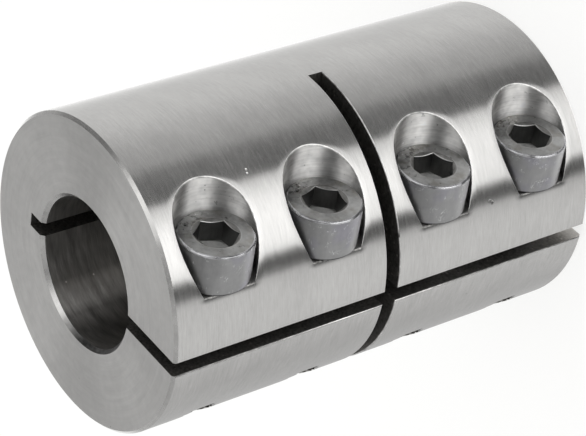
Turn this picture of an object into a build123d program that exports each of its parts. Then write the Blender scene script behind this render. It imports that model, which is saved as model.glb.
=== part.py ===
from build123d import *
from build123d.topology import SkipClean
import os
from math import radians, sqrt, tan

# Rigid shaft coupling: one turned steel sleeve that four socket head cap screws close on the ends
# of two shafts. A slit along one side lets the sleeve close, a shallow slit opposite it makes the
# wall supple there, and a saw cut across the middle lets each half grip its own shaft.
#
# Lengths are in millimetres and angles in degrees. The sleeve stands on one end, with the origin
# in the middle of that end: +Z is the axis of the bore, the clamp slit opens towards -Y, and the
# screw heads face +X.

# Sleeve
body_length = 66.0
outer_diameter = 42.0
bore_diameter = 20.0
end_chamfer = 0.4            # outer rim of both end faces
bore_chamfer = 0.5           # rim of the bore in both end faces
edge_break = 0.15            # edges that milling and sawing leave on the outside

# Saw cuts
clamp_slit_width = 2.0
relief_slit_depth = 2.8      # from the bore into the wall opposite the clamp slit
cross_slot_width = 2.0
cross_slot_past_axis = 0.5   # how far beyond the axis of the bore the cut across goes

# Screw places
end_to_screw = 8.15          # from each end face to the nearest screw
screw_pitch = 16.2           # between the two screws that hold one shaft
screw_inset = 0.4            # how far inside the middle of the wall the screws run
seat_height = 8.3            # counterbore floor above the middle of the clamp slit
head_side_gap = 0.6          # between a head and the wall of its counterbore
upper_jaw_play = 0.3         # round the screw, on the radius
lower_jaw_play = 0.05        # round the thread's outside, on the radius
tapped_core_diameter = 5.0   # of the thread beyond the end of the screw
tip_room = 0.6               # from the end of the screw to where that core begins

# Screws
screw_diameter = 6.0
screw_length = 16.0          # under the head
head_diameter = 9.8
head_height = 5.9
head_chamfer = 0.3
underside_chamfer = 0.15     # round the head's seat
neck_chamfer = 0.25          # under the head
tip_chamfer = 0.6
socket_across_flats = 5.05
socket_depth = 3.1
socket_floor_angle = 150.0   # of the shallow cone that the punch leaves
socket_entry_diameter = 6.0
socket_entry_angle = 120.0
socket_turns = [37.0, 18.0, -8.0, 35.0]   # of each socket about its screw, from the top one down

# Sizes that follow
outside_radius = outer_diameter / 2
bore_radius = bore_diameter / 2
screw_radius = screw_diameter / 2
counterbore_radius = head_diameter / 2 + head_side_gap
screw_offset = (bore_radius + outside_radius) / 2 - screw_inset
screw_heights = [
    body_length - end_to_screw,
    body_length - end_to_screw - screw_pitch,
    end_to_screw + screw_pitch,
    end_to_screw,
]
overshoot = outside_radius   # how far cutting tools run past what they cut


def turned_bar():
    """The bar turned to the outer diameter and faced, with both end rims chamfered."""
    bar = Cylinder(outside_radius, body_length, align=(Align.CENTER, Align.CENTER, Align.MIN))
    return chamfer(bar.edges().filter_by(GeomType.CIRCLE), end_chamfer)


def screw_frame(height):
    """Where a screw seats: its own +Z runs out of the head."""
    return Pos(seat_height, -screw_offset, height) * Rot(0, 90, 0)


def screw_place(height):
    """What the mill, the drill and the tap take out for one screw."""
    upward = (Align.CENTER, Align.CENTER, Align.MIN)
    downward = (Align.CENTER, Align.CENTER, Align.MAX)
    counterbore = Cylinder(counterbore_radius, outside_radius + overshoot, align=upward)
    upper_hole = Cylinder(screw_radius + upper_jaw_play, seat_height, align=downward)
    lower_hole = Cylinder(screw_radius + lower_jaw_play, screw_length + tip_room, align=downward)
    tapped_core = Cylinder(tapped_core_diameter / 2, seat_height + outside_radius + overshoot, align=downward)
    return screw_frame(height) * (counterbore + upper_hole + lower_hole + tapped_core)


def break_outside_edges(sleeve):
    """Chamfers what the screw places leave sharp on the outside."""

    def on_outside(edge):
        points = [edge.position_at(share) for share in (0.0, 0.3, 0.7)]
        return all(abs(sqrt(p.X ** 2 + p.Y ** 2) - outside_radius) < edge_break / 10 for p in points)

    between_ends = sleeve.edges().filter_by_position(Axis.Z, 2 * end_chamfer, body_length - 2 * end_chamfer)
    return chamfer(between_ends.filter_by(on_outside), edge_break)


def clamp_slit():
    """The cut along the sleeve, from the outside through the bore into the far wall."""
    side = clamp_slit_width / 2
    back = bore_radius + relief_slit_depth
    mouth = -sqrt(outside_radius ** 2 - side ** 2)
    right_side = [(side, back), (side, mouth + edge_break), (side + edge_break + overshoot, mouth - overshoot)]
    left_side = [(-x, y) for x, y in reversed(right_side)]
    outline = make_face(Polyline(*right_side, *left_side, close=True))
    return extrude(outline, body_length)


def cross_slot():
    """The cut across the middle, with the edges it leaves on the outside broken."""
    side = cross_slot_width / 2
    middle = body_length / 2
    reach = outside_radius + overshoot
    depth = reach + cross_slot_past_axis
    saw = Pos(0, cross_slot_past_axis - depth / 2, middle) * Box(2 * reach, depth, cross_slot_width)
    lower_flank = [(outside_radius - edge_break, -side), (reach, -side - edge_break - overshoot)]
    upper_flank = [(r, -z) for r, z in reversed(lower_flank)]
    flare = make_face(Polyline(*lower_flank, *upper_flank, close=True))
    ring = revolve(Plane.XZ * Pos(0, middle) * flare, Axis.Z)
    sawn_side = Pos(0, cross_slot_past_axis - depth / 2, middle) * Box(2 * reach, depth, 2 * reach)
    return saw + (ring & sawn_side)


def lower_bore():
    """The bore for the lower shaft, up to the middle of the sleeve, with its rim chamfered."""
    points = [
        (0, -overshoot),
        (bore_radius + bore_chamfer + overshoot, -overshoot),
        (bore_radius, bore_chamfer),
        (bore_radius, body_length / 2),
        (0, body_length / 2),
    ]
    outline = make_face(Polyline(*points, close=True))
    return Rot(0, 0, -90) * revolve(Plane.XZ * outline, Axis.Z)


def coupling_body():
    """The sleeve with its screw places and saw cuts, bored last from both ends."""
    sleeve = turned_bar()
    for height in screw_heights:
        sleeve -= screw_place(height)
    sleeve = break_outside_edges(sleeve)
    sleeve -= clamp_slit()
    sleeve -= cross_slot()
    upper_bore = mirror(lower_bore(), about=Plane.XY.offset(body_length / 2))
    with SkipClean():            # each shaft keeps a face of its own in the bore
        return sleeve - [lower_bore(), upper_bore]


def corner(face, x, y):
    """The vertex of a flat outline that lies nearest to a point."""
    return face.vertices().sort_by_distance((x, y, 0))[0]


def screw_blank():
    """Head and shank, turned about Z, with the head's underside at height 0."""
    head_radius = head_diameter / 2
    points = [
        (0, head_height),
        (head_radius, head_height),
        (head_radius, 0),
        (screw_radius, 0),
        (screw_radius, -screw_length),
        (0, -screw_length),
    ]
    outline = make_face(Polyline(*points, close=True))
    outline = chamfer(corner(outline, head_radius, head_height), head_chamfer)
    outline = chamfer(corner(outline, head_radius, 0), underside_chamfer)
    outline = chamfer(corner(outline, screw_radius, 0), neck_chamfer)
    outline = chamfer(corner(outline, screw_radius, -screw_length), tip_chamfer)
    return revolve(Plane.XZ * outline, Axis.Z)


def socket(turn):
    """The hexagon for the key, with its countersunk entry and its floor."""
    entry_radius = socket_entry_diameter / 2
    entry_depth = entry_radius / tan(radians(socket_entry_angle / 2))
    floor_radius = socket_across_flats / 2
    floor_depth = floor_radius / tan(radians(socket_floor_angle / 2))
    downward = (Align.CENTER, Align.CENTER, Align.MAX)
    hexagon = Rot(0, 0, turn) * RegularPolygon(socket_across_flats / 2, 6, major_radius=False)
    walls = Pos(0, 0, head_height) * extrude(hexagon, -socket_depth)
    floor = Pos(0, 0, head_height - socket_depth) * Cone(0, floor_radius, floor_depth, align=downward)
    entry = Pos(0, 0, head_height) * Cone(0, entry_radius, entry_depth, align=downward)
    return walls + floor + entry


def clamp_screw(height, turn):
    """One cap screw, seated in its counterbore."""
    return screw_frame(height) * (screw_blank() - socket(turn))


def main():
    os.makedirs("parts", exist_ok=True)
    export_step(coupling_body(), "parts/coupling_body.step")
    for number, (height, turn) in enumerate(zip(screw_heights, socket_turns), start=1):
        export_step(clamp_screw(height, turn), f"parts/clamp_screw_{number}.step")


main()
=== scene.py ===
"""Looks of a one-piece clamp coupling: its finishes, screw threads, tapped holes, light and camera."""

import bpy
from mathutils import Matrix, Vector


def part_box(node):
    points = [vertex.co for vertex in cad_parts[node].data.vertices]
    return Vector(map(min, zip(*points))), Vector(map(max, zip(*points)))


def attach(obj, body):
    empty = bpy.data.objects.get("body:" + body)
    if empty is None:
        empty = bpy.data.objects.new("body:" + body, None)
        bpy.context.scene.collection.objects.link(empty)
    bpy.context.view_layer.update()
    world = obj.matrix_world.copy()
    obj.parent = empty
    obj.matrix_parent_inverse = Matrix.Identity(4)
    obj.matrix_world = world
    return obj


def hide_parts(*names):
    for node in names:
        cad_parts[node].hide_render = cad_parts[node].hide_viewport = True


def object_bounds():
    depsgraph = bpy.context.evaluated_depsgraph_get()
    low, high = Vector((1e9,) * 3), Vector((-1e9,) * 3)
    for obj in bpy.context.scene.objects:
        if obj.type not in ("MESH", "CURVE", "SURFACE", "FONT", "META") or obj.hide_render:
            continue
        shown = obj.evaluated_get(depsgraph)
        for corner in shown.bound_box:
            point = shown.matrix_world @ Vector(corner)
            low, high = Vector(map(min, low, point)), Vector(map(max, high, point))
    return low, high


bl_info = {
    "name": "Rigid Shaft Coupling",
    "version": (1, 0, 0),
    "blender": (4, 5, 0),
    "location": "3D View > Sidebar > Coupling",
    "description": "Dresses a one-piece clamp coupling in turned, milled and sawn steel",
    "category": "Object",
}

from math import cos, hypot, pi, radians, sin, sqrt

import bmesh
import bpy
from bpy.props import FloatProperty, FloatVectorProperty, PointerProperty
from mathutils import Matrix, Vector

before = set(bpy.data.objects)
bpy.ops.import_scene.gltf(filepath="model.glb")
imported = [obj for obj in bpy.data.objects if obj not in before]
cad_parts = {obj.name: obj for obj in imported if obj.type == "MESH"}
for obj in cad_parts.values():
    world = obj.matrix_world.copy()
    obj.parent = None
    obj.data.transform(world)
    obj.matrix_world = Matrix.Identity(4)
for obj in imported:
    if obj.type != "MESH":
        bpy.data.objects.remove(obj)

MM = 0.001
CAD_LOW, CAD_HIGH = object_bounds()
SLEEVE_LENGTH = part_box("coupling_body")[1].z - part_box("coupling_body")[0].z
SCREWS = sorted(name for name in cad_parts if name.startswith("clamp_screw_"))
BODY_OF = {"coupling_body": "sleeve", **{name: name.replace("clamp_screw", "screw") for name in SCREWS}}

ON_SURFACE = 0.004 * MM          # how near a corner of a facet lies to the surface that it stands for
SAME_POINT = 0.0005 * MM         # corners nearer to each other than this are one
SQUARE, UPRIGHT = 0.9999, 0.02   # how much of a facet's normal lies along an axis: at least, if the facet
                                 # is square across the axis, and at most, if it runs along the axis
FAR_AWAY = 1.0                   # in metres, further than any place on the part
UP, ACROSS = Vector((0, 0, 1)), Vector((1, 0, 0))     # the axis of the bore, and of every screw
SHADED_RIM_WAY = Vector((-cos(radians(42)), -sin(radians(42)), 0))     # the side where the bore's rims get painted shade
LIGHTER_STRIP_WAY = Vector((-cos(radians(33)), sin(radians(33)), 0))     # the side along which the bore is lighter in a strip

# Where the round outside has been knocked, in millimetres
BRIGHT_KNOCKS = [(18.30, -10.28, 50.8), (18.04, -10.73, 50.9)]
DARK_KNOCKS = [(8.83, -19.05, 16.9), (8.60, -19.15, 16.6)]


def screw_axis(name):
    """The middle of a screw's top face. Its axis runs along X from there."""
    low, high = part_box(name)
    return Vector((high.x, (low.y + high.y) / 2, (low.z + high.z) / 2))


def hex_colour(code):
    """An sRGB hex colour as linear red, green, blue and alpha."""
    parts = [int(code[i:i + 2], 16) / 255 for i in (1, 3, 5)]
    linear = [c / 12.92 if c <= 0.04045 else ((c + 0.055) / 1.055) ** 2.4 for c in parts]
    return (*linear, 1.0)


def size(name, description, millimetres):
    """A length that a user may change, from its default in millimetres."""
    return FloatProperty(
        name=name, description=description, default=millimetres * MM, unit="LENGTH", precision=5)


def colour(name, description, code):
    """A colour that a user may change, from its default as a hex code."""
    return FloatVectorProperty(
        name=name, description=description, default=hex_colour(code), size=4, subtype="COLOR", min=0, max=1)


class SleeveSettings(bpy.types.PropertyGroup):
    """Sizes of the sleeve that its finishes follow, and its colours"""

    outside_radius: size("Outside radius", "Radius of the turned outside", 21.0)
    bore_radius: size("Bore radius", "Radius of the bore", 10.0)
    end_chamfer: size("End chamfer", "Chamfer of the outer rims", 0.4)
    bore_chamfer: size("Bore chamfer", "Chamfer of the bore's rims", 0.5)
    slit_half_width: size("Half slit", "Half the width of the saw cuts", 1.0)
    counterbore_radius: size("Counterbore radius", "Radius round the screw heads", 5.5)
    seat_height: size("Seat height", "Counterbore floor above the clamp slit", 8.3)
    upper_hole_radius: size("Upper hole", "Clearance hole under the seat", 3.3)
    tapped_radius: size("Tapped hole", "Outside of the tapped thread", 3.05)
    core_radius: size("Tapped core", "Core of the thread beyond the screw", 2.5)
    tap_start: size("Tap start", "From a screw's end to where the open thread is cut from", 0.29)
    tap_inside: size("Tap inside", "How far inside the tapped core the cut begins", 0.2)
    facet_sag: size("Facet sag", "How far a facet's middle may lie inside the round outside", 0.06)
    # Painted light: the saw cuts are painted lighter this near their foot, where light reaches into them
    lit_end_reach: size("Clean end", "How far from its foot the oil is wiped off the saw cuts", 4.0)
    burr_reach: size("Burrs", "How far from a seat's height its edges are torn", 0.25)
    lip_reach: size("Rolled lip", "How far from a screw place its deburred rim rolls off", 0.9)
    steel: colour("Steel", "Bright turned steel", "#CAC9C7")
    milled_steel: colour("Milled steel", "Freshly milled steel", "#EAE9E7")
    edge_steel: colour("Edge steel", "Steel of the broken edges", "#D4D3D1")
    burr_steel: colour("Burr steel", "Steel of the torn edges beside the seats", "#8A8987")
    bored_steel: colour("Bored steel", "Oily steel of the bore", "#ADABA8")
    sawn_steel: colour("Sawn steel", "Sawn and oiled steel in the cuts", "#7C7A77")
    drilled_steel: colour("Drilled steel", "Dark steel in the drilled holes", "#4A4845")


class ScrewSettings(bpy.types.PropertyGroup):
    """Sizes of a cap screw that its finishes and thread follow, and its colours"""

    head_radius: size("Head radius", "Radius of the head", 4.9)
    head_height: size("Head height", "From the seat to the top of the head", 5.9)
    socket_mouth: size("Socket mouth", "Radius of the countersink's outer circle", 3.0)
    countersink_depth: size("Countersink", "Deepest point of the countersink", 0.35)
    thread_radius: size("Thread radius", "Outside of the thread", 3.0)
    thread_core: size("Thread core", "Radius at the bottom of the thread", 2.42)
    pitch: size("Pitch", "One turn of the thread", 1.0)
    neck: size("Neck", "Plain neck above the thread", 0.9)
    shank: size("Shank", "From the seat to the end of the thread", 16.0)
    tip_chamfer: size("Tip chamfer", "Chamfer at the end of the thread", 0.6)
    mouth_slope: FloatProperty(
        name="Mouth slope", description="How much the countersink sinks towards the screw's axis",
        default=0.577)
    mouth_leans: FloatVectorProperty(
        name="Mouth leans",
        description="How far the countersink leans inwards at its rim and at the hexagon, in degrees",
        default=(2.0, 24.0), size=2)
    # The same reach sets the width of the painted highlight along the socket's top edge
    mouth_reach: size("Mouth roll", "How far down its walls the socket's mouth is rolled over", 0.16)
    # The ring is worn, and also painted brighter as a highlight
    rubbed_reach: size("Rubbed edges", "How far from its socket a head is rubbed bright", 0.15)
    # Painted shade: so far above its seat a head's side is painted dark
    foot_reach: size("Oily foot", "How far above its seat a head's side is dark with oil", 0.35)
    side_steel: colour("Head side", "Dull grey headed steel", "#9C9C9C")
    side_stain: colour("Side stain", "Lilac cast in patches of the head's side", "#98979D")
    top_steel: colour("Head top", "Dull top of the head", "#9F9F9E")
    top_stain: colour("Top stain", "Brown stain on the head's top", "#8E8C88")
    # Painted shade: the countersink gets this darker colour
    mouth_steel: colour("Mouth", "Oily countersink of the socket", "#858482")
    worn_steel: colour("Worn edges", "Edges rubbed bright", "#BEBEC0")
    # Painted shade: the edge under each head gets this dark colour
    foot_steel: colour("Foot", "Oily edge under the head", "#2E2D2B")
    # Painted shade: the socket's walls get this dark colour
    socket_steel: colour("Socket", "Oily punched walls of the socket", "#5C5C5B")
    # Painted light: the socket's floor is made this pale for the light that reaches it
    floor_steel: colour("Socket floor", "Punched floor of the socket", "#CFCFCD")
    thread_steel: colour("Thread", "Rolled thread with oil in it", "#85858A")


class StageSettings(bpy.types.PropertyGroup):
    """The floor and the camera"""

    floor_colour: colour("Floor", "Plain pale floor", "#FDFDFC")
    floor_size: FloatProperty(
        name="Floor size", description="Edge of the floor", default=6.0, unit="LENGTH")
    lens: FloatProperty(name="Lens", description="Focal length in millimetres", default=146.45, min=10)


def add(tree, kind, *feeds, **settings):
    """Adds a node, sets its settings, and feeds its inputs from values, nodes or nodes' sockets.

    The feeds go to the inputs in order, or to those that a dictionary names. A node gives its first output.
    """
    node = tree.nodes.new(kind)
    for name, value in settings.items():
        setattr(node, name, value)
    named = feeds[0] if feeds and isinstance(feeds[0], dict) else dict(enumerate(feeds))
    for key, value in named.items():
        if isinstance(value, bpy.types.Node):
            value = value.outputs[0]
        if isinstance(value, bpy.types.NodeSocket):
            tree.links.new(value, node.inputs[key])
        else:
            node.inputs[key].default_value = value
    return node


def fade(tree, value, start, end):
    """1 where the value is at end or past it, falling smoothly to 0 at start."""
    inputs = {"Value": value, "From Min": start, "From Max": end}
    return add(tree, "ShaderNodeMapRange", inputs, interpolation_type="SMOOTHSTEP")


def empty_material(name):
    """A new material, and its tree without any nodes."""
    material = bpy.data.materials.new(name)
    material.use_nodes = True
    material.node_tree.nodes.clear()
    return material, material.node_tree


def pattern_space(tree, sizes, turn=(0, 0, 0)):
    """Object coordinates in units of a pattern's own sizes in millimetres, turned by degrees."""
    inputs = {
        "Vector": add(tree, "ShaderNodeTexCoord").outputs["Object"],
        "Scale": [length * MM for length in sizes],
        "Rotation": [radians(angle) for angle in turn],
    }
    return add(tree, "ShaderNodeMapping", inputs, vector_type="TEXTURE")


def polar_space(tree, spacing, length, lean):
    """Space for tool marks about the bore's axis: how far out and up in spacings, then the way round.

    The way round is in radians times a length. A lean makes the marks climb by so many spacings a radian.
    """
    place = add(tree, "ShaderNodeTexCoord").outputs["Object"]
    parts = add(tree, "ShaderNodeSeparateXYZ", place)
    flat = add(tree, "ShaderNodeVectorMath", place, (1, 1, 0), operation="MULTIPLY")
    out = add(tree, "ShaderNodeVectorMath", flat, operation="LENGTH").outputs["Value"]
    turn = add(tree, "ShaderNodeMath", parts.outputs["Y"], parts.outputs["X"], operation="ARCTAN2")
    climb = add(tree, "ShaderNodeMath", turn, lean, operation="MULTIPLY")
    each = 1 / (spacing * MM)
    upwards = add(tree, "ShaderNodeMath", parts.outputs["Z"], each, climb, operation="MULTIPLY_ADD")
    across = add(tree, "ShaderNodeMath", out, each, upwards, operation="MULTIPLY_ADD")
    way_round = add(tree, "ShaderNodeMath", turn, length, operation="MULTIPLY")
    return add(tree, "ShaderNodeCombineXYZ", across, way_round, 0.0)


def noise_at(tree, vector, detail):
    """Noise between about -0.5 and 0.5."""
    inputs = {"Vector": vector, "Scale": 1.0, "Detail": detail, "Roughness": 0.6}
    noise = add(tree, "ShaderNodeTexNoise", inputs)
    return add(tree, "ShaderNodeMath", noise.outputs["Fac"], 0.5, operation="SUBTRACT")


def clouds(*sizes, turn=(0, 0, 0), detail=2.0):
    """A pattern of soft patches with these sizes in millimetres along X, Y and Z."""
    return lambda tree: noise_at(tree, pattern_space(tree, sizes, turn), detail)


def rings(spacing, length, lean=0.0):
    """A pattern of tool marks in rings about the bore's axis."""
    return lambda tree: noise_at(tree, polar_space(tree, spacing, length, lean), detail=2.0)


DOT_EDGE = (0.7, 0.3)            # where a dot fades out and where it is full, in its widths from its middle


def specks(spacing, width, share):
    """A pattern of scattered dots about this wide, in a share of cells this far apart, in millimetres."""

    def pattern(tree):
        space = pattern_space(tree, [spacing] * 3)
        cells = add(tree, "ShaderNodeTexVoronoi", {"Vector": space, "Scale": 1.0})
        dot = fade(tree, cells.outputs["Distance"], *(part * width / spacing for part in DOT_EDGE))
        draw = add(tree, "ShaderNodeSeparateColor", cells.outputs["Color"])
        drawn = add(tree, "ShaderNodeMath", draw, share, operation="LESS_THAN")
        return add(tree, "ShaderNodeMath", dot, drawn, operation="MULTIPLY")

    return pattern


SPOT_EDGE, PATCH_EDGE = 0.05, 0.04       # how far noise rises across the edge of a spot and of a patch
PATCH_SIZE, PATCH_TURN = 2.5, (20, 50, 70)       # of patches of scratches, in their least size and degrees


def grime(length, share):
    """A pattern of irregular spots, with a smaller share covered the higher the number."""

    def pattern(tree):
        noise = noise_at(tree, pattern_space(tree, [length] * 3), detail=4.0)
        return fade(tree, noise, share, share + SPOT_EDGE)

    return pattern


def scratches(*sizes, turn, width, share):
    """A pattern of thin broken lines, where stretched noise passes through its middle.

    The width is how much noise a line takes up. The higher the share, the fewer lines are kept.
    """

    def pattern(tree):
        wander = noise_at(tree, pattern_space(tree, sizes, turn), detail=1.0)
        off_middle = add(tree, "ShaderNodeMath", wander, operation="ABSOLUTE")
        line = fade(tree, off_middle, width, width / 3)
        patch = noise_at(tree, pattern_space(tree, [PATCH_SIZE * min(sizes)] * 3, PATCH_TURN), detail=1.0)
        kept = fade(tree, patch, share, share + PATCH_EDGE)
        return add(tree, "ShaderNodeMath", line, kept, operation="MULTIPLY")

    return pattern


STAIN_EDGE = (-0.05, 0.20)       # noise at which a stain begins and is full


def steel(name, base, roughness, layers, anisotropy=0.0, tangent=None, stain=None):
    """A steel finish: layers of pattern that each give relief, dullness and brightness.

    A layer is (pattern, height in millimetres, change of roughness, change of brightness). The tangent is
    the direction across the tool marks, along which they blur what the steel mirrors. A stain is (pattern,
    colour), and takes the place of the base colour where its pattern is high.
    """
    material, tree = empty_material(name)
    height, rough, shade = 0.0, roughness, 1.0
    for pattern, depth, duller, brighter in layers:
        value = pattern(tree)
        if depth:
            height = add(tree, "ShaderNodeMath", value, depth * MM, height, operation="MULTIPLY_ADD")
        if duller:
            rough = add(tree, "ShaderNodeMath", value, duller, rough, operation="MULTIPLY_ADD")
        if brighter:
            shade = add(tree, "ShaderNodeMath", value, brighter, shade, operation="MULTIPLY_ADD")
    if stain:
        pattern, stained = stain
        inputs = {0: fade(tree, pattern(tree), *STAIN_EDGE), "A": base, "B": stained}
        base = add(tree, "ShaderNodeMix", inputs, data_type="RGBA").outputs["Result"]
    else:
        base = base[:3]
    tint = add(tree, "ShaderNodeVectorMath", {0: base, "Scale": shade}, operation="SCALE")
    inputs = {"Base Color": tint, "Metallic": 1.0, "Roughness": rough, "Anisotropic": anisotropy}
    if not isinstance(height, float):
        inputs["Normal"] = add(tree, "ShaderNodeBump", {"Height": height, "Distance": 1.0})
    if tangent:
        inputs["Tangent"] = tangent(tree)
    shader = add(tree, "ShaderNodeBsdfPrincipled", inputs)
    add(tree, "ShaderNodeOutputMaterial", {"Surface": shader})
    return material


def to_world(tree, vector):
    """A direction on the piece as a direction in the world, so that it turns with the piece."""
    settings = {"vector_type": "VECTOR", "convert_from": "OBJECT", "convert_to": "WORLD"}
    return add(tree, "ShaderNodeVectorTransform", vector, **settings)


def along(direction):
    """A tangent that is the same all over the piece."""
    return lambda tree: to_world(tree, add(tree, "ShaderNodeCombineXYZ", *direction))


def outwards(tree):
    """A tangent that points away from the bore's axis, across rings."""
    place = add(tree, "ShaderNodeTexCoord").outputs["Object"]
    return to_world(tree, add(tree, "ShaderNodeVectorMath", place, (1, 1, 0), operation="MULTIPLY"))


def gap_to_screw(tree, beside=Vector((0, 0, 0))):
    """How far a place is from the nearest screw's axis, or from a line beside it, and its height.

    Heights are measured along the screws, from the middle of the clamp slit.
    """
    place = add(tree, "ShaderNodeTexCoord").outputs["Object"]
    gap = FAR_AWAY
    for name in SCREWS:
        off = add(tree, "ShaderNodeVectorMath", place, screw_axis(name) + beside, operation="SUBTRACT")
        level = add(tree, "ShaderNodeVectorMath", off, (0, 1, 1), operation="MULTIPLY")
        reach = add(tree, "ShaderNodeVectorMath", level, operation="LENGTH").outputs["Value"]
        gap = add(tree, "ShaderNodeMath", gap, reach, operation="MINIMUM")
    return gap, add(tree, "ShaderNodeSeparateXYZ", place).outputs["X"]


def excess(tree, value, limit):
    """How far a value is past a limit, or 0."""
    past = add(tree, "ShaderNodeMath", value, limit, operation="SUBTRACT")
    return add(tree, "ShaderNodeMath", past, 0.0, operation="MAXIMUM")


def roll_off(tree, distance, reach):
    """1 at an edge, falling to 0 at a reach from it, steepest at the edge."""
    left = add(tree, "ShaderNodeMath", distance, -1 / reach, 1.0, operation="MULTIPLY_ADD")
    share = add(tree, "ShaderNodeMath", left, 0.0, operation="MAXIMUM")
    return add(tree, "ShaderNodeMath", share, 2.0, operation="POWER")


def rolled_lips(settings):
    """A pattern that rolls the outside off towards the rim of each screw place."""

    def pattern(tree):
        gap, height = gap_to_screw(tree)
        beside = excess(tree, gap, settings.counterbore_radius)
        below = excess(tree, settings.seat_height, height)
        away = add(tree, "ShaderNodeCombineXYZ", beside, below, 0.0)
        distance = add(tree, "ShaderNodeVectorMath", away, operation="LENGTH").outputs["Value"]
        return roll_off(tree, distance, settings.lip_reach)

    return pattern


def reach_towards(direction, start, end):
    """A pattern that rises from 0 to 1 between two distances from the origin along a direction."""

    def pattern(tree):
        place = add(tree, "ShaderNodeTexCoord").outputs["Object"]
        far = add(tree, "ShaderNodeVectorMath", place, direction, operation="DOT_PRODUCT").outputs["Value"]
        return fade(tree, far, start, end)

    return pattern


def rolled_mouth_highlight(settings):
    """A pattern that is 1 at the top edge of the socket's walls, which the key rubs and rolls over, and
    which carries a painted highlight.
    """
    at_axis = screw_axis(SCREWS[0]).x - settings.mouth_slope * settings.socket_mouth

    def pattern(tree):
        gap, height = gap_to_screw(tree)
        edge = add(tree, "ShaderNodeMath", gap, settings.mouth_slope, at_axis, operation="MULTIPLY_ADD")
        below = add(tree, "ShaderNodeMath", edge, height, operation="SUBTRACT")
        return roll_off(tree, below, settings.mouth_reach)

    return pattern


def foot_shade(settings):
    """A pattern that is 1 where a head's side meets its seat, for painted shade there."""
    seat = screw_axis(SCREWS[0]).x - settings.head_height

    def pattern(tree):
        _, height = gap_to_screw(tree)
        return fade(tree, height, seat + settings.foot_reach, seat + settings.foot_reach / 2)

    return pattern


def beside_screws(turn, radius, reach):
    """A pattern that is 1 on one side of every screw and falls to 0 at a reach from there.

    The side is a turn in degrees about the screw, from +Y towards +Z, at a radius from its axis.
    """
    beside = Vector((0, radius * cos(radians(turn)), radius * sin(radians(turn))))

    def pattern(tree):
        gap, _ = gap_to_screw(tree, beside)
        return fade(tree, gap, reach * MM, 0.0)

    return pattern


def knocks(places, reach):
    """A pattern of small dents at places in millimetres, with a reach round each."""

    def pattern(tree):
        here = add(tree, "ShaderNodeTexCoord").outputs["Object"]
        gap = FAR_AWAY
        for place in places:
            off = add(tree, "ShaderNodeVectorMath", here, Vector(place) * MM, operation="DISTANCE")
            gap = add(tree, "ShaderNodeMath", gap, off.outputs["Value"], operation="MINIMUM")
        return fade(tree, gap, reach * MM, 0.0)

    return pattern


def where(first, second):
    """The first pattern, kept only where the second is high."""
    return lambda tree: add(tree, "ShaderNodeMath", first(tree), second(tree), operation="MULTIPLY")


def rubbed_mouth_highlight(settings):
    """A pattern that is 1 on a head's top at the rim of its socket, where the key has rubbed it bright and
    where a painted highlight lies.
    """

    def pattern(tree):
        gap, _ = gap_to_screw(tree)
        return fade(tree, gap, settings.socket_mouth + settings.rubbed_reach, settings.socket_mouth)

    return pattern


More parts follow.
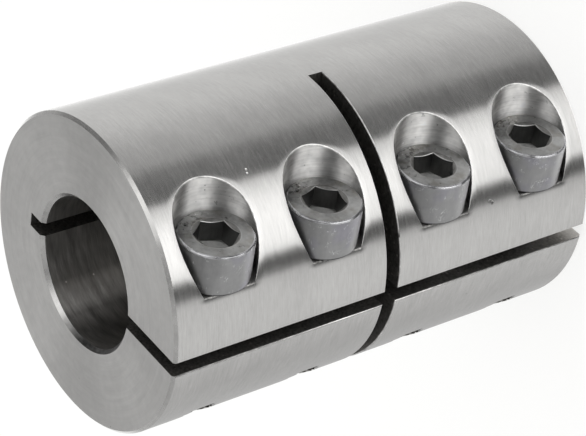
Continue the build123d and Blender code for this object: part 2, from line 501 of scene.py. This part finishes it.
def sleeve_materials(settings):
    """The finishes of the sleeve, by the name of the surface they belong to."""
    bright, radius, recess = settings.steel, settings.bore_radius, settings.counterbore_radius
    return {
        # Bar turned bright: marks run round it, so lights stretch along its length. The real marks are
        # about 0.1 mm apart, and these are a little coarser, so that they show
        "outside": steel("turned_steel", bright, 0.24, [
            (clouds(5, 5, 0.26), 0.0008, 0.06, 0.14),
            (clouds(2.0, 2.0, 0.13), 0.0004, 0.05, 0.26),
            (clouds(9, 7, 4, turn=(35, 10, 20)), 0.0, 0.05, 0.20),
            (clouds(1.0, 1.0, 0.6), 0.0, 0.04, 0.12),
            (specks(2.4, 0.22, 0.05), 0.01, 0.0, -0.4),
            (rolled_lips(settings), -0.045, 0.0, 0.0),
            (knocks(BRIGHT_KNOCKS, 0.20), -0.04, 0.2, 0.7),
            (knocks(DARK_KNOCKS, 0.30), -0.02, 0.2, -0.6),
        ], 0.95, along(UP)),
        # Faced ends: rings that show as arcs, drawn coarser than the real ones
        "end": steel("faced_steel", bright, 0.38, [
            (rings(0.9, 1.5), 0.0010, 0.10, 0.24),
            (rings(0.25, 3.0), 0.0006, 0.06, 0.16),
            (clouds(5, 5, 5), 0.0, 0.05, 0.20),
            (clouds(1.2, 1.2, 1.2), 0.0, 0.04, 0.20),
            (specks(2.0, 0.25, 0.08), 0.008, 0.0, -0.25),
        ], 0.8, outwards),
        # Chamfers cut with the corner of the turning tool
        "rim": steel("rim_steel", bright, 0.26, [
            (clouds(5, 5, 0.2), 0.0006, 0.10, 0.2),
            (clouds(1.5, 1.5, 1.5), 0.0, 0.1, 0.4),
        ], 0.7, along(UP)),
        # The bore's chamfers: bright, with painted shade on one side
        "bore_rim": steel("shaded_rim_steel", bright, 0.28, [
            (clouds(5, 5, 0.2), 0.0006, 0.10, 0.2),
            (clouds(1.2, 1.2, 1.2), 0.0, 0.1, 0.5),
            (reach_towards(SHADED_RIM_WAY, 0.4 * radius, 0.9 * radius), 0.0, 0.2, -0.80),
        ], 0.7, along(UP)),
        # Edges broken by hand: bright and a little uneven
        "edge": steel("broken_edge_steel", settings.edge_steel, 0.38, [
            (clouds(0.5, 0.5, 0.5), 0.01, 0.2, 1.0),
            (clouds(1.8, 1.8, 1.8), 0.0, 0.3, 2.0),
        ]),
        # Where the end mill ran out: torn, with tiny burrs that catch the light
        "burr": steel("torn_edge_steel", settings.burr_steel, 0.40, [
            (clouds(0.4, 0.4, 0.4), 0.03, 0.3, 3.0),
            (clouds(1.5, 1.5, 1.5), 0.0, 0.3, 2.4),
        ]),
        # Bore: dull with oil, with a tool path that climbs across it, and lighter in a strip along one side
        "bore": steel("bored_steel", settings.bored_steel, 0.33, [
            (rings(0.9, 1.5, lean=1.5), 0.004, 0.15, 1.0),
            (clouds(2, 2, 0.20), 0.002, 0.1, 0.7),
            (specks(1.2, 0.25, 0.12), 0.01, 0.0, 1.2),
            (reach_towards(LIGHTER_STRIP_WAY, 0.965 * radius, radius), 0.0, 0.0, 0.80),
        ], 0.8, along(UP)),
        # Counterbores: rings of the end mill stand out and blur lights along the screw's axis, with painted
        # shade and a painted highlight beside each head
        "milled": steel("milled_steel", settings.milled_steel, 0.54, [
            (clouds(0.26, 6, 6, detail=1.0), 0.07, 0.0, 0.35),
            (clouds(0.9, 9, 9), 0.01, 0.1, 0.1),
            (clouds(2.0, 2.0, 2.0), 0.0, 0.1, 0.9),
            (specks(1.3, 0.3, 0.08), 0.03, 0.0, 0.9),
            (grime(0.8, 0.15), -0.004, 0.1, -0.35),
            # Painted shade in streaks beside each head, where the walls mirror the dark gap round it, and a
            # painted highlight in a patch beside one streak
            (beside_screws(26, recess, 2.7), 0.0, 0.0, -0.25),
            (beside_screws(-45, recess, 1.8), 0.0, 0.0, -0.28),
            (beside_screws(-30, recess, 1.4), 0.0, 0.0, 0.12),
        ], 1.0, along(ACROSS)),
        # Seats: cut smooth by the end of the mill, so they mirror more than the walls above them
        "seat": steel("seat_steel", bright, 0.36, [
            (clouds(1, 1, 1), 0.006, 0.1, 0.5),
        ]),
        # Saw cuts: coarse and dark, partly with oil and partly as painted shade, with grains that catch the
        # light, and painted light near the foot, where light reaches into them
        "sawn": steel("sawn_steel", settings.sawn_steel, 0.45, [
            (clouds(1.2, 0.5, 0.5), 0.012, 0.1, 0.8),
            (clouds(0.35, 0.35, 0.35, detail=3.0), 0.02, 0.0, 1.8),
            (specks(0.45, 0.3, 0.15), 0.03, -0.1, 0.9),
            (reach_towards(UP, settings.lit_end_reach, 0.0), 0.0, 0.0, 1.6),
        ]),
        # Drilled holes: dark, with rings that the drill leaves
        "hole": steel("drilled_steel", settings.drilled_steel, 0.4, [
            (clouds(0.3, 3, 3), 0.006, 0.1, 0.6),
        ]),
        # Tapped threads: clean flanks that flash between dark grooves
        "thread": steel("tapped_steel", settings.bored_steel, 0.35, [
            (clouds(1, 1, 1), 0.004, 0.1, 0.5),
        ]),
    }


def merged_copy(node):
    """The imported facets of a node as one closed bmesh."""
    work = bmesh.new()
    work.from_mesh(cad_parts[node].data)
    bmesh.ops.remove_doubles(work, verts=work.verts, dist=SAME_POINT)
    work.normal_update()
    return work


def turned_normal(point, normal, centre, origin, axis):
    """The normal at a point of a surface turned about an axis, from a facet's normal and centre."""

    def out(place):
        reach = place - origin
        return (reach - axis * reach.dot(axis)).normalized()

    upright = normal.dot(axis)
    level = sqrt(max(0.0, 1 - upright * upright))
    if normal.dot(out(centre)) < 0:
        level = -level
    return (out(point) * level + axis * upright).normalized()


SOFT_ANGLE = radians(40)         # faces that meet at less than this shade as one
BORROW = 0.35                    # least agreement between a broken edge and the surface it shades into


def smooth_shading(work, describe):
    """Normals for each corner. describe(face) gives (finish, kind, origin, axis).

    Kinds are flat, turned about an axis, soft for one surface with its neighbours, and broken for an edge
    that borrows the normals of the surfaces that it joins, so that it shades as a rounding. A kind may also
    be a function of the corner's place.
    """
    facts = {face: describe(face) for face in work.faces}
    at_corner = {}

    def own_normal(face, vert):
        _, kind, origin, axis = facts[face]
        if callable(kind):
            return kind(vert.co)
        if kind == "turned":
            return turned_normal(vert.co, face.normal, face.calc_center_median(), origin, axis)
        if kind == "soft":
            near = [other for other in vert.link_faces if facts[other][1] == "soft"]
            near = [other for other in near if other.normal.dot(face.normal) > cos(SOFT_ANGLE)]
            return sum((other.normal * other.calc_area() for other in near), Vector()).normalized()
        return face.normal.copy()

    for face in work.faces:
        if facts[face][1] != "broken":
            for vert in face.verts:
                at_corner.setdefault(vert, []).append(own_normal(face, vert))
    normals = []
    for face in work.faces:
        for loop in face.loops:
            if facts[face][1] != "broken":
                normals.append(own_normal(face, loop.vert))
                continue
            near = max(at_corner.get(loop.vert, []), key=face.normal.dot, default=face.normal)
            normals.append(near if near.dot(face.normal) > BORROW else face.normal.copy())
    return [facts[face][0] for face in work.faces], normals


def piece(name, work, finishes, materials, normals, body, replaces):
    """Makes the finished object of a bmesh, riding on its body and standing for its node."""
    mesh = bpy.data.meshes.new(name)
    work.to_mesh(mesh)
    work.free()
    order = list(materials)
    for key in order:
        mesh.materials.append(materials[key])
    for polygon, finish in zip(mesh.polygons, finishes):
        polygon.material_index = order.index(finish)
        polygon.use_smooth = True
    mesh.normals_split_custom_set(normals)
    thing = bpy.data.objects.new(name, mesh)
    bpy.context.scene.collection.objects.link(thing)
    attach(thing, body)
    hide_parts(replaces)


THREAD_STEPS = 40                # facets in one turn of a thread
CREST_PART = 8                   # a ridge is an eighth of a pitch wide on top
SCREW_ROOT_PART = 5              # the flats between a screw's ridges are a fifth of a pitch wide
TAP_ROOT_PART = 12               # and those between a tap's ridges a twelfth
COLLAR = 0.1 * MM                # between a screw's plain neck and its winding, bridged by a cone


def ridge_profile(top, tip, pitch, root_part):
    """Corners of a thread's section along X, past both of its ends, as (place, share of the height)."""
    crest, root = pitch / CREST_PART, pitch / root_part
    flank = (pitch - crest - root) / 2
    corners = []
    place = top + pitch
    while place > tip - 2 * pitch:
        corners += [
            (place, 1.0),
            (place - crest, 1.0),
            (place - crest - flank, 0.0),
            (place - pitch + flank, 0.0),
        ]
        place -= pitch
    return corners


def wind(work, centre, corners, inner, outer, pitch):
    """Winds a thread's section once round the axis, by one pitch, which closes it into a helix."""
    points = [Vector((x, centre.y + inner + share * (outer - inner), centre.z)) for x, share in corners]
    verts = [work.verts.new(point) for point in points]
    edges = [work.edges.new(pair) for pair in zip(verts, verts[1:])]
    bmesh.ops.spin(
        work, geom=verts + edges, cent=centre, axis=ACROSS, dvec=ACROSS * (pitch / THREAD_STEPS),
        angle=2 * pi, steps=THREAD_STEPS, use_merge=False, use_duplicate=False)
    bmesh.ops.remove_doubles(work, verts=work.verts, dist=SAME_POINT)


def cut_off(work, place, side):
    """Cuts away what lies beyond a place along the screws, square across, and leaves the mesh open."""
    everything = list(work.verts) + list(work.edges) + list(work.faces)
    bmesh.ops.bisect_plane(
        work, geom=everything, dist=SAME_POINT, plane_co=(place, 0, 0), plane_no=side, clear_outer=True)


def open_edges(work, place):
    """The edges of the opening that lies square across a screw's axis at a place along it."""
    return [edge for edge in work.edges
            if edge.is_boundary and all(abs(vert.co.x - place) < ON_SURFACE for vert in edge.verts)]


def bare_object(name, work):
    """A plain object of a bmesh, for a modifier to work on."""
    mesh = bpy.data.meshes.new(name)
    work.to_mesh(mesh)
    work.free()
    thing = bpy.data.objects.new(name, mesh)
    bpy.context.scene.collection.objects.link(thing)
    return thing


def tap_for(centre, settings, screw):
    """What a tap takes out beyond the end of a screw, as a closed winding that runs out of the sleeve."""
    work = bmesh.new()
    top = settings.seat_height - screw.shank - settings.tap_start
    tip = -settings.outside_radius
    inside = settings.core_radius - settings.tap_inside
    profile = ridge_profile(top, tip, screw.pitch, TAP_ROOT_PART)
    wind(work, centre, profile, inside, screw.thread_radius, screw.pitch)
    cut_off(work, top, ACROSS)
    cut_off(work, tip, -ACROSS)
    for place in (top, tip):
        bmesh.ops.contextual_create(work, geom=open_edges(work, place))
    bmesh.ops.recalc_face_normals(work, faces=work.faces)
    return work


def tapped(work, settings, screw):
    """Cuts the threads that show where the screw holes leave the sleeve."""
    sleeve = bare_object("blank", work)
    taps = [bare_object("tap", tap_for(screw_axis(name), settings, screw)) for name in SCREWS]
    for tap in taps:
        cut = sleeve.modifiers.new("thread", "BOOLEAN")
        cut.operation = "DIFFERENCE"
        cut.solver = "EXACT"
        cut.object = tap
    shaped = sleeve.evaluated_get(bpy.context.evaluated_depsgraph_get())
    mesh = bpy.data.meshes.new_from_object(shaped)
    work = bmesh.new()
    work.from_mesh(mesh)
    bpy.data.meshes.remove(mesh)
    for thing in [sleeve, *taps]:
        old = thing.data
        bpy.data.objects.remove(thing)
        bpy.data.meshes.remove(old)
    bmesh.ops.remove_doubles(work, verts=work.verts, dist=SAME_POINT)
    bmesh.ops.dissolve_degenerate(work, edges=work.edges, dist=SAME_POINT)
    work.normal_update()
    return work


def describe_sleeve(settings, screw):
    """Tells which surface of the sleeve a facet belongs to."""
    axes = [screw_axis(name) for name in SCREWS]
    tap_top = settings.seat_height - screw.shank - settings.tap_start
    round_screws = (
        (settings.counterbore_radius, "milled"),
        (settings.upper_hole_radius, "hole"),
        (settings.tapped_radius, "hole"),
    )

    def close(a, b):
        return abs(a - b) < ON_SURFACE

    def all_at(face, measure, value):
        return all(close(measure(vert.co), value) for vert in face.verts)

    def reach(place):
        return hypot(place.x, place.y)

    def from_end(place):
        return min(place.z, SLEEVE_LENGTH - place.z)

    def in_tap(place):
        """True inside a tapped hole, short of the outside that it leaves by."""
        if place.x > tap_top or reach(place) > settings.outside_radius - settings.facet_sag:
            return False
        return min(hypot(place.y - c.y, place.z - c.z) for c in axes) < settings.tapped_radius

    def describe(face):
        normal, middle = face.normal, face.calc_center_median()
        if in_tap(middle):
            return ("thread", "soft", None, None)
        if abs(normal.z) < UPRIGHT:
            if all(settings.outside_radius - reach(vert.co) < settings.facet_sag for vert in face.verts):
                return ("outside", "turned", Vector(), UP)
            if all_at(face, reach, settings.bore_radius):
                return ("bore", "turned", Vector(), UP)
        if abs(normal.x) < UPRIGHT:
            for centre in axes:
                for radius, finish in round_screws:
                    if all_at(face, lambda p, c=centre: hypot(p.y - c.y, p.z - c.z), radius):
                        return (finish, "turned", centre, ACROSS)
        if abs(normal.z) > SQUARE:
            return ("end" if from_end(middle) < ON_SURFACE else "sawn", "flat", None, None)
        if abs(normal.x) > SQUARE:
            on_slit = abs(middle.x) < 2 * settings.slit_half_width
            return ("sawn" if on_slit else "seat" if middle.x > 0 else "hole", "flat", None, None)
        if abs(normal.y) > SQUARE:
            return ("sawn", "flat", None, None)
        if all_at(face, lambda p: settings.outside_radius - reach(p) + from_end(p), settings.end_chamfer):
            return ("rim", "turned", Vector(), UP)
        if all_at(face, lambda p: reach(p) - settings.bore_radius + from_end(p), settings.bore_chamfer):
            return ("bore_rim", "turned", Vector(), UP)
        by_seat = abs(middle.x - settings.seat_height) < settings.burr_reach
        return ("burr" if by_seat else "edge", "broken", None, None)

    return describe


class COUPLING_OT_sleeve(bpy.types.Operator):
    """Dress the sleeve in its turned, bored, milled and sawn finishes"""

    bl_idname = "coupling.sleeve"
    bl_label = "Sleeve"

    def execute(self, context):
        settings, screw = context.scene.coupling_sleeve, context.scene.coupling_screws
        work = tapped(merged_copy("coupling_body"), settings, screw)
        finishes, normals = smooth_shading(work, describe_sleeve(settings, screw))
        piece(
            "turned_sleeve", work, finishes, sleeve_materials(settings), normals, BODY_OF["coupling_body"],
            "coupling_body")
        return {"FINISHED"}


def screw_materials(settings):
    """The finishes of a cap screw, by the name of the surface they belong to."""
    radius = settings.head_radius
    return {
        # Headed steel: dull, with fine marks along the screw and small knocks, painted light on one side
        # and painted shade at the foot
        "side": steel("headed_steel", settings.side_steel, 0.40, [
            (clouds(3.0, 0.5, 0.5), 0.003, 0.05, 0.22),
            (clouds(1.6, 1.6, 1.6), 0.006, 0.08, 0.35),
            (specks(0.8, 0.22, 0.10), -0.02, 0.0, 0.25),
            (scratches(1.2, 0.5, 0.5, turn=(0, 25, 15), width=0.02, share=0.08), -0.01, -0.1, 0.9),
            # Painted light on the same side of every head
            (beside_screws(225, radius, 2.8), 0.0, 0.0, 0.55),
            # Painted shade where the head's side meets its seat
            (foot_shade(settings), 0.0, 0.0, -0.75),
        ], stain=(clouds(3.5, 3.5, 3.5), settings.side_stain)),
        # Top: stained, with specks left by plating and knocks from the key, and with painted shade on one
        # side and painted light on two others
        "top": steel("stained_steel", settings.top_steel, 0.48, [
            (clouds(0.4, 0.4, 0.4, detail=3.0), 0.02, 0.1, 0.7),
            (clouds(2.6, 2.6, 2.6), 0.0, 0.1, 1.2),
            (specks(0.8, 0.3, 0.12), 0.04, -0.1, 0.9),
            (grime(0.9, 0.12), -0.01, 0.1, -0.45),
            (rubbed_mouth_highlight(settings), 0.0, -0.15, 0.25),
            # Painted shade on one side of each top, and painted light on two others
            (beside_screws(60, radius, 3.4), 0.0, 0.1, -0.50),
            (beside_screws(225, radius, 5.0), 0.0, 0.0, 0.50),
            (beside_screws(0, radius, 2.6), 0.0, 0.0, 0.55),
            (where(specks(0.42, 0.28, 0.30), beside_screws(10, radius, 3.4)), 0.05, -0.2, 1.8),
            (where(grime(0.5, 0.04), beside_screws(20, radius, 4.0)), -0.02, 0.1, -0.7),
        ], stain=(clouds(2.0, 2.0, 2.0), settings.top_stain)),
        # Countersink: painted a little darker than the top as shade, and smoother
        "mouth": steel("countersunk_steel", settings.mouth_steel, 0.36, [
            (clouds(0.6, 0.6, 0.6), 0.006, 0.2, 1.0),
        ]),
        # Under the head: painted dark as shade
        "foot": steel("foot_shaded_steel", settings.foot_steel, 0.5, [
            (clouds(1.0, 1.0, 1.0), 0.004, 0.1, 1.0),
        ]),
        # Edges that handling has rubbed bright
        "worn": steel("worn_steel", settings.worn_steel, 0.26, [
            (clouds(0.8, 0.8, 0.8), 0.004, 0.2, 0.8),
            (clouds(2.5, 2.5, 2.5), 0.0, 0.4, 2.6),
        ]),
        # Socket walls: painted dark as shade, with marks along the punch's way and a painted highlight
        # along the top edge, which is also rolled over
        "socket": steel("punched_steel", settings.socket_steel, 0.4, [
            (clouds(1.5, 0.3, 0.3), 0.004, 0.1, 0.5),
            (clouds(0.9, 0.9, 0.9), 0.004, 0.1, 0.5),
            (rolled_mouth_highlight(settings), -0.08, -0.15, 6.0),
        ]),
        # Socket floor: painted pale as the light that reaches it, and pitted where the punch pressed
        "socket_floor": steel("punched_floor_steel", settings.floor_steel, 0.45, [
            (clouds(0.6, 0.6, 0.6), 0.01, 0.1, 0.6),
        ]),
        # Rolled thread: smooth, grey and shiny with oil
        "thread": steel("rolled_steel", settings.thread_steel, 0.3, [
            (clouds(0.8, 0.8, 0.8), 0.003, 0.1, 0.6),
        ]),
    }


def describe_screw(settings, centre):
    """Tells which surface of a cap screw a facet belongs to."""
    seat = centre.x - settings.head_height

    def gap(place):
        return hypot(place.y - centre.y, place.z - centre.z)

    def dished(place):
        """The countersink rolls from near the flat top into the socket."""
        at_rim = gap(place) > settings.socket_mouth - ON_SURFACE
        lean = radians(settings.mouth_leans[0 if at_rim else 1])
        inward = Vector((0, centre.y - place.y, centre.z - place.z)).normalized()
        return ACROSS * cos(lean) + inward * sin(lean)

    def describe(face):
        normal, middle = face.normal, face.calc_center_median()
        inside = all(gap(vert.co) < settings.socket_mouth + ON_SURFACE for vert in face.verts)
        if middle.x < seat - settings.neck + ON_SURFACE:
            return ("thread", "soft", None, None)
        if inside and middle.x > seat + ON_SURFACE:
            if abs(normal.x) < UPRIGHT:
                return ("socket", "flat", None, None)
            if middle.x > centre.x - settings.countersink_depth:
                return ("mouth", dished, None, None)
            return ("socket_floor", "turned", centre, ACROSS)
        if middle.x < seat - ON_SURFACE:
            return ("thread", "turned", centre, ACROSS)
        if abs(normal.x) > SQUARE:
            return ("top" if normal.x > 0 else "side", "flat", None, None)
        if abs(normal.x) < UPRIGHT:
            return ("side", "turned", centre, ACROSS)
        return ("worn" if normal.x > 0 else "foot", "broken", None, None)

    return describe


def threaded_shank(settings, centre):
    """The thread from the neck to the tip, open at both ends."""
    work = bmesh.new()
    top = centre.x - settings.head_height - settings.neck
    tip = centre.x - settings.head_height - settings.shank
    pitch, outer, core = settings.pitch, settings.thread_radius, settings.thread_core
    wind(work, centre, ridge_profile(top, tip, pitch, SCREW_ROOT_PART), core, outer, pitch)
    for vert in work.verts:
        level = Vector((0, vert.co.y - centre.y, vert.co.z - centre.z))
        run_out = core + (outer - core) * (top - vert.co.x) / pitch
        pointed = outer - settings.tip_chamfer + max(0.0, vert.co.x - tip)
        radius = max(min(level.length, run_out, pointed), min(core, pointed))
        vert.co = Vector((vert.co.x, centre.y, centre.z)) + level.normalized() * radius
    cut_off(work, top, ACROSS)
    cut_off(work, tip, -ACROSS)
    return work, top, tip


def screw_mesh(name, settings):
    """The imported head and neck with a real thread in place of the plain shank."""
    centre = screw_axis(name)
    shank, top, tip = threaded_shank(settings, centre)
    mesh = bpy.data.meshes.new("shank")
    shank.to_mesh(mesh)
    shank.free()
    work = merged_copy(name)
    neck_end = top + COLLAR
    cut_off(work, neck_end, -ACROSS)
    work.from_mesh(mesh)
    bpy.data.meshes.remove(mesh)
    bmesh.ops.bridge_loops(work, edges=open_edges(work, neck_end) + open_edges(work, top))
    bmesh.ops.contextual_create(work, geom=open_edges(work, tip))
    bmesh.ops.recalc_face_normals(work, faces=work.faces)
    return work, centre


class COUPLING_OT_screws(bpy.types.Operator):
    """Dress the cap screws and wind their threads"""

    bl_idname = "coupling.screws"
    bl_label = "Clamp screws"

    def execute(self, context):
        settings = context.scene.coupling_screws
        materials = screw_materials(settings)
        for name in SCREWS:
            work, centre = screw_mesh(name, settings)
            finishes, normals = smooth_shading(work, describe_screw(settings, centre))
            piece(
                name.replace("clamp_screw", "cap_screw"), work, finishes, materials, normals, BODY_OF[name],
                name)
        return {"FINISHED"}


# What stands round the part, as the steel mirrors it. A card runs along the bore's axis and takes up a
# band of angles round it, in degrees from +X towards +Y: middle, half width, softness of its edge towards
# smaller and towards larger angles, and brightness. The low cards reach below the horizon, and the high
# ones above it.
LOW_TENT, HIGH_TENT, ZENITH = 0.84, 0.57, 0.70
LOW_CARDS = {
    "wide_wall": (-182.5, 44.5, 8.0, 24.0, 0.60),
    "edge_gap": (-79.4, 6.5, 3.0, 3.0, 0.12),
    "long_strip": (-47.5, 23.8, 2.0, 14.0, 1.62),
    "grey_wall": (9.0, 26.5, 1.0, 30.0, 0.42),
    "dark_flag": (-4.3, 13.0, 1.2, 6.0, 0.15),
    "far_strip": (126.5, 15.0, 15.0, 5.0, 1.60),
}
HIGH_CARDS = {
    "dark_upper": (62.0, 28.0, 14.0, 14.0, 0.22),
    "bright_upper": (-8.0, 28.0, 10.0, 9.0, 1.40),
    "gap_upper": (-76.0, 16.0, 12.0, 12.0, 0.30),
}
# Round patches: azimuth, elevation, radius, softness and brightness
HIGH_PATCHES = {
    "dark_left": (-175.0, 50.0, 20.0, 10.0, 0.30),
    "spot_near_top": (110.0, 68.0, 12.0, 7.0, 1.35),
    "spot_behind": (166.0, 62.0, 9.0, 7.0, 0.85),
    "grey_corner": (112.0, 44.0, 12.0, 8.0, 0.30),
    "dark_corner": (-42.0, 26.0, 19.0, 7.0, 0.06),
    "dark_side": (38.0, 14.0, 14.0, 8.0, 0.20),
}
LOW_PATCHES = {
    "dark_table": (-60.0, -73.0, 26.0, 7.0, 0.03),
    "strip_middle": (-50.0, -6.0, 15.0, 9.0, 2.60),
    "table_glow": (95.0, -62.0, 16.0, 8.0, 1.50),
    "table_left": (-175.0, -62.0, 16.0, 8.0, 1.40),
    "grey_side": (98.0, 0.0, 12.0, 8.0, 0.50),
    "grey_far": (153.0, -10.0, 10.0, 6.0, 1.20),
}
HORIZON = (0.0, 0.25)            # heights between which the low cards give way to the high ones
OVERHEAD = (0.90, 0.99)          # and those between which the high cards give way to the zenith


def band(tree, azimuth, middle, half, soft_low, soft_high):
    """1 inside a band of angles round the axis, falling smoothly to 0 at both edges."""
    off = add(tree, "ShaderNodeMath", azimuth, middle, operation="SUBTRACT")
    wrapped = add(tree, "ShaderNodeMath", off, 180.0, -180.0, operation="WRAP")
    low = fade(tree, wrapped, -half - soft_low, soft_low - half)
    high = fade(tree, wrapped, half + soft_high, half - soft_high)
    return add(tree, "ShaderNodeMath", low, high, operation="MULTIPLY")


def towards(azimuth, elevation):
    """The direction at an azimuth and an elevation in degrees."""
    turn, lift = radians(azimuth), radians(elevation)
    return Vector((cos(turn) * cos(lift), sin(turn) * cos(lift), sin(lift)))


def studio_world():
    """A white tent with cards parallel to the bore's axis and round patches, and plain white elsewhere.

    Only what the steel mirrors shows them. The camera and the floor get plain white.
    """
    world = bpy.data.worlds.new("studio_tent")
    world.use_nodes = True
    tree = world.node_tree
    tree.nodes.clear()
    direction = add(tree, "ShaderNodeTexCoord").outputs["Generated"]
    parts = add(tree, "ShaderNodeSeparateXYZ", direction)
    turn = add(tree, "ShaderNodeMath", parts.outputs["Y"], parts.outputs["X"], operation="ARCTAN2")
    azimuth = add(tree, "ShaderNodeMath", turn, 180 / pi, operation="MULTIPLY")

    def over(share, level, brightness):
        """The brightness where the share is 1, and the level that was there where it is 0."""
        return add(tree, "ShaderNodeMix", {0: share, 2: level, 3: brightness})

    def surrounded(level, cards, patches):
        """A tent of one level with cards and patches set in it, each over those before it."""
        for *place, brightness in cards.values():
            level = over(band(tree, azimuth, *place), level, brightness)
        for azimuth_of, elevation, radius, soft, brightness in patches.values():
            middle = towards(azimuth_of, elevation)
            near = add(tree, "ShaderNodeVectorMath", direction, middle, operation="DOT_PRODUCT")
            rim = cos(radians(radius + soft)), cos(radians(radius - soft))
            level = over(fade(tree, near.outputs["Value"], *rim), level, brightness)
        return level

    low = surrounded(LOW_TENT, LOW_CARDS, LOW_PATCHES)
    high = surrounded(HIGH_TENT, HIGH_CARDS, HIGH_PATCHES)
    high = over(fade(tree, parts.outputs["Z"], *OVERHEAD), high, ZENITH)
    level = over(fade(tree, parts.outputs["Z"], *HORIZON), low, high)
    strength = over(add(tree, "ShaderNodeLightPath").outputs["Is Glossy Ray"], 1.0, level)
    background = add(tree, "ShaderNodeBackground", {"Color": (1, 1, 1, 1), "Strength": strength})
    add(tree, "ShaderNodeOutputWorld", {"Surface": background})
    bpy.context.scene.world = world


FLOOR_GLOW, FLOOR_SHADE = 0.74, 0.30     # the paper's own brightness, and how much of it the light gives


def floor_material(settings):
    """Pale paper: white to the camera with a soft shadow, and out of the way of what the steel mirrors."""
    material, tree = empty_material("pale_floor")
    path = add(tree, "ShaderNodeLightPath")
    paper = settings.floor_colour
    glow = add(tree, "ShaderNodeEmission", {"Color": paper, "Strength": FLOOR_GLOW})
    lit = add(tree, "ShaderNodeBsdfDiffuse", {"Color": tuple(FLOOR_SHADE * c for c in paper[:3]) + (1,)})
    seen = add(tree, "ShaderNodeAddShader", glow, lit)
    clear = add(tree, "ShaderNodeBsdfTransparent")
    passing = path.outputs["Is Glossy Ray"], path.outputs["Is Shadow Ray"]
    passed = add(tree, "ShaderNodeMath", *passing, operation="MAXIMUM")
    mix = add(tree, "ShaderNodeMixShader", passed, seen, clear)
    add(tree, "ShaderNodeOutputMaterial", {"Surface": mix})
    return material


# Where the camera stands, in millimetres, and which ways are right and down in its picture
CAMERA_PLACE = Vector((183.65, -194.38, 201.71))
CAMERA_RIGHT = Vector((0.13232, -0.57440, -0.80781))
CAMERA_DOWN = Vector((-0.80058, -0.54245, 0.25458))
SENSOR_WIDTH = 36.0              # in millimetres, as the lens
CLIP_START = 0.01                # in metres, well short of the part
FLOOR_GAP = 0.02 * MM            # between the floor and the end that the sleeve stands on


class COUPLING_OT_stage(bpy.types.Operator):
    """Set the pale floor, the light tent and the camera"""

    bl_idname = "coupling.stage"
    bl_label = "Stage"

    def execute(self, context):
        scene = context.scene
        settings = scene.coupling_stage
        scene.view_settings.view_transform = "Standard"
        studio_world()
        work = bmesh.new()
        bmesh.ops.create_grid(work, x_segments=1, y_segments=1, size=settings.floor_size / 2)
        bmesh.ops.translate(work, verts=work.verts, vec=(0, 0, CAD_LOW.z - FLOOR_GAP))
        mesh = bpy.data.meshes.new("floor")
        work.to_mesh(mesh)
        work.free()
        mesh.materials.append(floor_material(settings))
        floor = bpy.data.objects.new("floor", mesh)
        scene.collection.objects.link(floor)
        lens = bpy.data.cameras.new("camera")
        lens.lens = settings.lens
        lens.sensor_width = SENSOR_WIDTH
        lens.clip_start = CLIP_START
        camera = bpy.data.objects.new("camera", lens)
        scene.collection.objects.link(camera)
        back = CAMERA_RIGHT.cross(-CAMERA_DOWN).normalized()
        turn = Matrix((CAMERA_RIGHT, -CAMERA_DOWN, back)).transposed().to_4x4()
        camera.matrix_world = Matrix.Translation(CAMERA_PLACE * MM) @ turn
        scene.camera = camera
        return {"FINISHED"}


class COUPLING_PT_panel(bpy.types.Panel):
    """The steps that dress the coupling, and what they use"""

    bl_label = "Rigid shaft coupling"
    bl_idname = "COUPLING_PT_panel"
    bl_space_type = "VIEW_3D"
    bl_region_type = "UI"
    bl_category = "Coupling"

    def draw(self, context):
        groups = (
            (COUPLING_OT_sleeve, context.scene.coupling_sleeve),
            (COUPLING_OT_screws, context.scene.coupling_screws),
            (COUPLING_OT_stage, context.scene.coupling_stage),
        )
        for operator, settings in groups:
            box = self.layout.box()
            box.operator(operator.bl_idname)
            for name in type(settings).__annotations__:
                box.prop(settings, name)


CLASSES = (
    SleeveSettings,
    ScrewSettings,
    StageSettings,
    COUPLING_OT_sleeve,
    COUPLING_OT_screws,
    COUPLING_OT_stage,
    COUPLING_PT_panel,
)


def register():
    for cls in CLASSES:
        bpy.utils.register_class(cls)
    bpy.types.Scene.coupling_sleeve = PointerProperty(type=SleeveSettings)
    bpy.types.Scene.coupling_screws = PointerProperty(type=ScrewSettings)
    bpy.types.Scene.coupling_stage = PointerProperty(type=StageSettings)


def unregister():
    del bpy.types.Scene.coupling_sleeve
    del bpy.types.Scene.coupling_screws
    del bpy.types.Scene.coupling_stage
    for cls in reversed(CLASSES):
        bpy.utils.unregister_class(cls)


def main():
    register()
    bpy.ops.coupling.stage()
    bpy.ops.coupling.sleeve()
    bpy.ops.coupling.screws()


if __name__ == "__main__":
    main()
